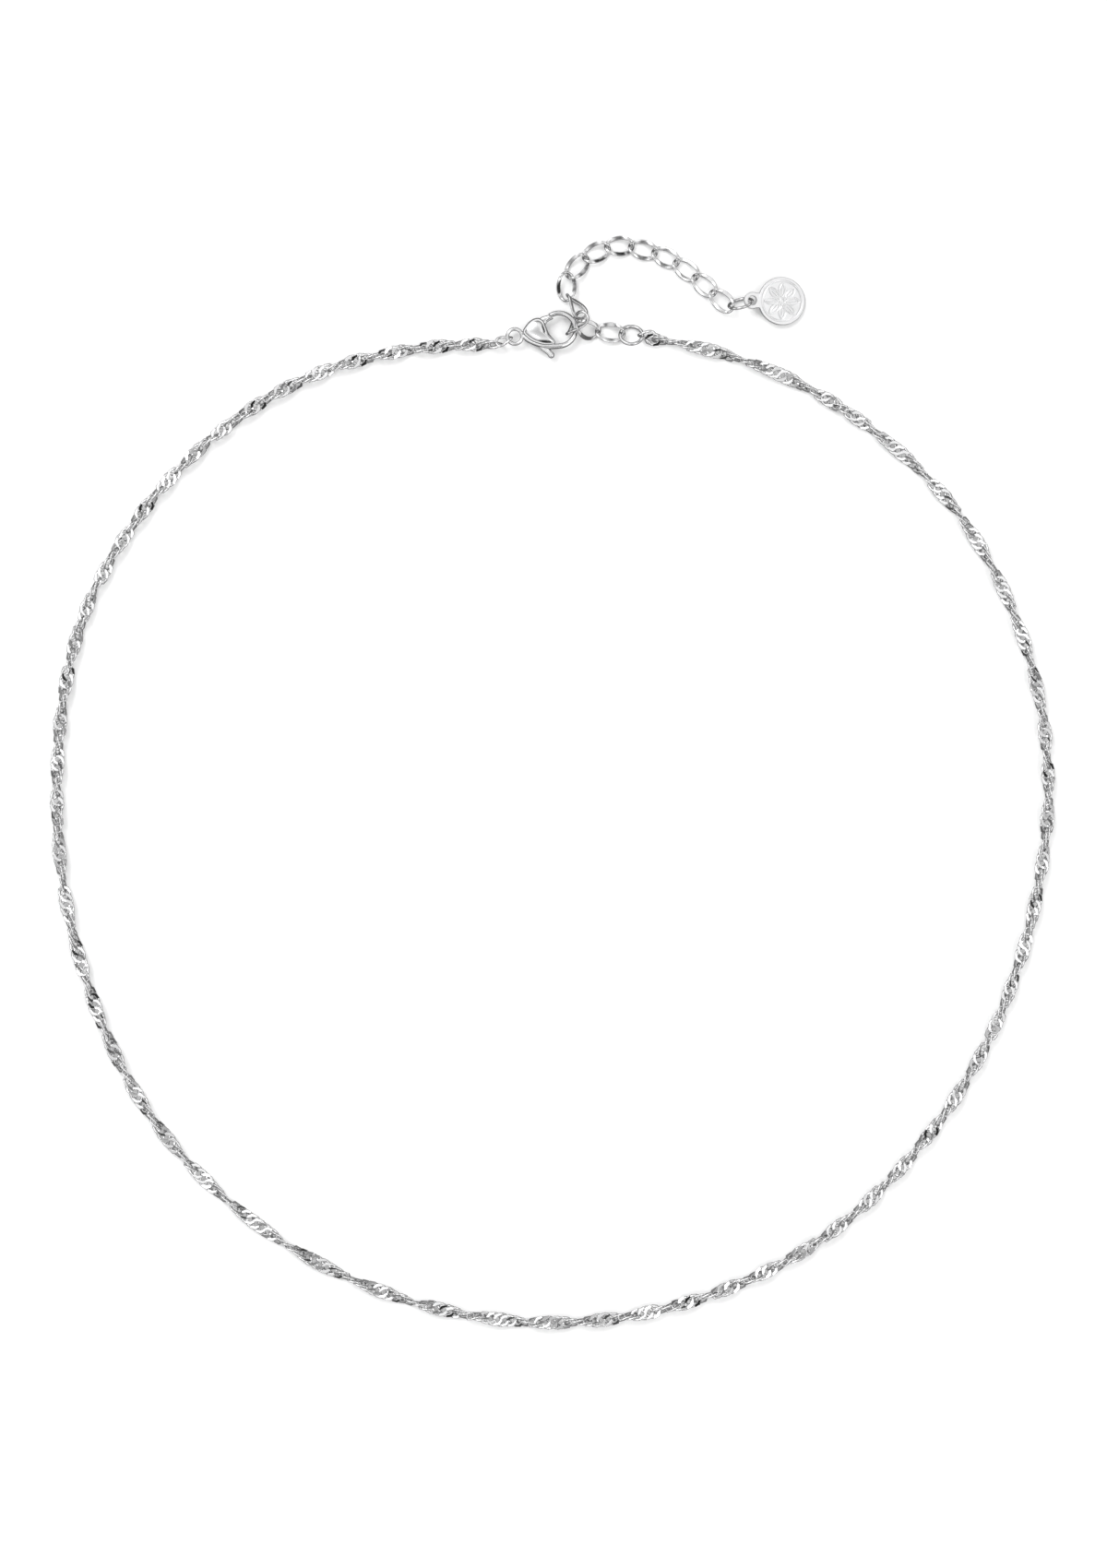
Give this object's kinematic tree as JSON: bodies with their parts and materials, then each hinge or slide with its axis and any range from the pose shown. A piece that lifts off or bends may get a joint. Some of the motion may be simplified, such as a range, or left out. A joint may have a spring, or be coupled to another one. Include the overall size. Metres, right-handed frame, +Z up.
{
  "type": "singapore chain necklace",
  "caption": "Twisted flat chain necklace with a lobster clasp fastened on a curb link extender that ends in a small round tag.",
  "frame": {"origin": "middle of the whole lying necklace, on the surface that it lies on", "axes": "+Z up from that surface, +Y from the middle of the loop towards the clasp, +X from the clasp towards the tag"},
  "size_m": [0.1308, 0.1424, 0.0032],
  "materials": {
    "chain_steel": "polished, diamond cut",
    "clasp_steel": "polished",
    "extender_steel": "polished",
    "ring_steel": "polished",
    "tag_steel": "polished, finely engraved"
  },
  "bodies": {
    "necklace": {"singapore_chain": "chain_steel", "chain_end_link_1": "chain_steel", "chain_end_link_2": "chain_steel", "clasp_body": "clasp_steel", "clasp_pin": "clasp_steel", "joining_ring": "ring_steel", "extender_link_01": "extender_steel", "extender_link_02": "extender_steel", "extender_link_03": "extender_steel", "extender_link_04": "extender_steel", "extender_link_05": "extender_steel", "extender_link_06": "extender_steel", "extender_link_07": "extender_steel", "extender_link_08": "extender_steel", "extender_link_09": "extender_steel", "extender_link_10": "extender_steel", "extender_link_11": "extender_steel", "extender_link_12": "extender_steel", "extender_link_13": "extender_steel", "tag_ring": "ring_steel", "tag": "tag_steel"},
    "lever": {"clasp_lever": "clasp_steel"}
  },
  "joints": [
    {"name": "lever_turn", "type": "hinge", "parent": "necklace", "child": "lever", "pos_m": [-0.0018, 0.05843, 0.00125], "axis": [0, 0, -1], "range_deg": [0, 24], "stiffness_Nm_per_rad": 0.0005, "springref_deg": -11.46}
  ]
}
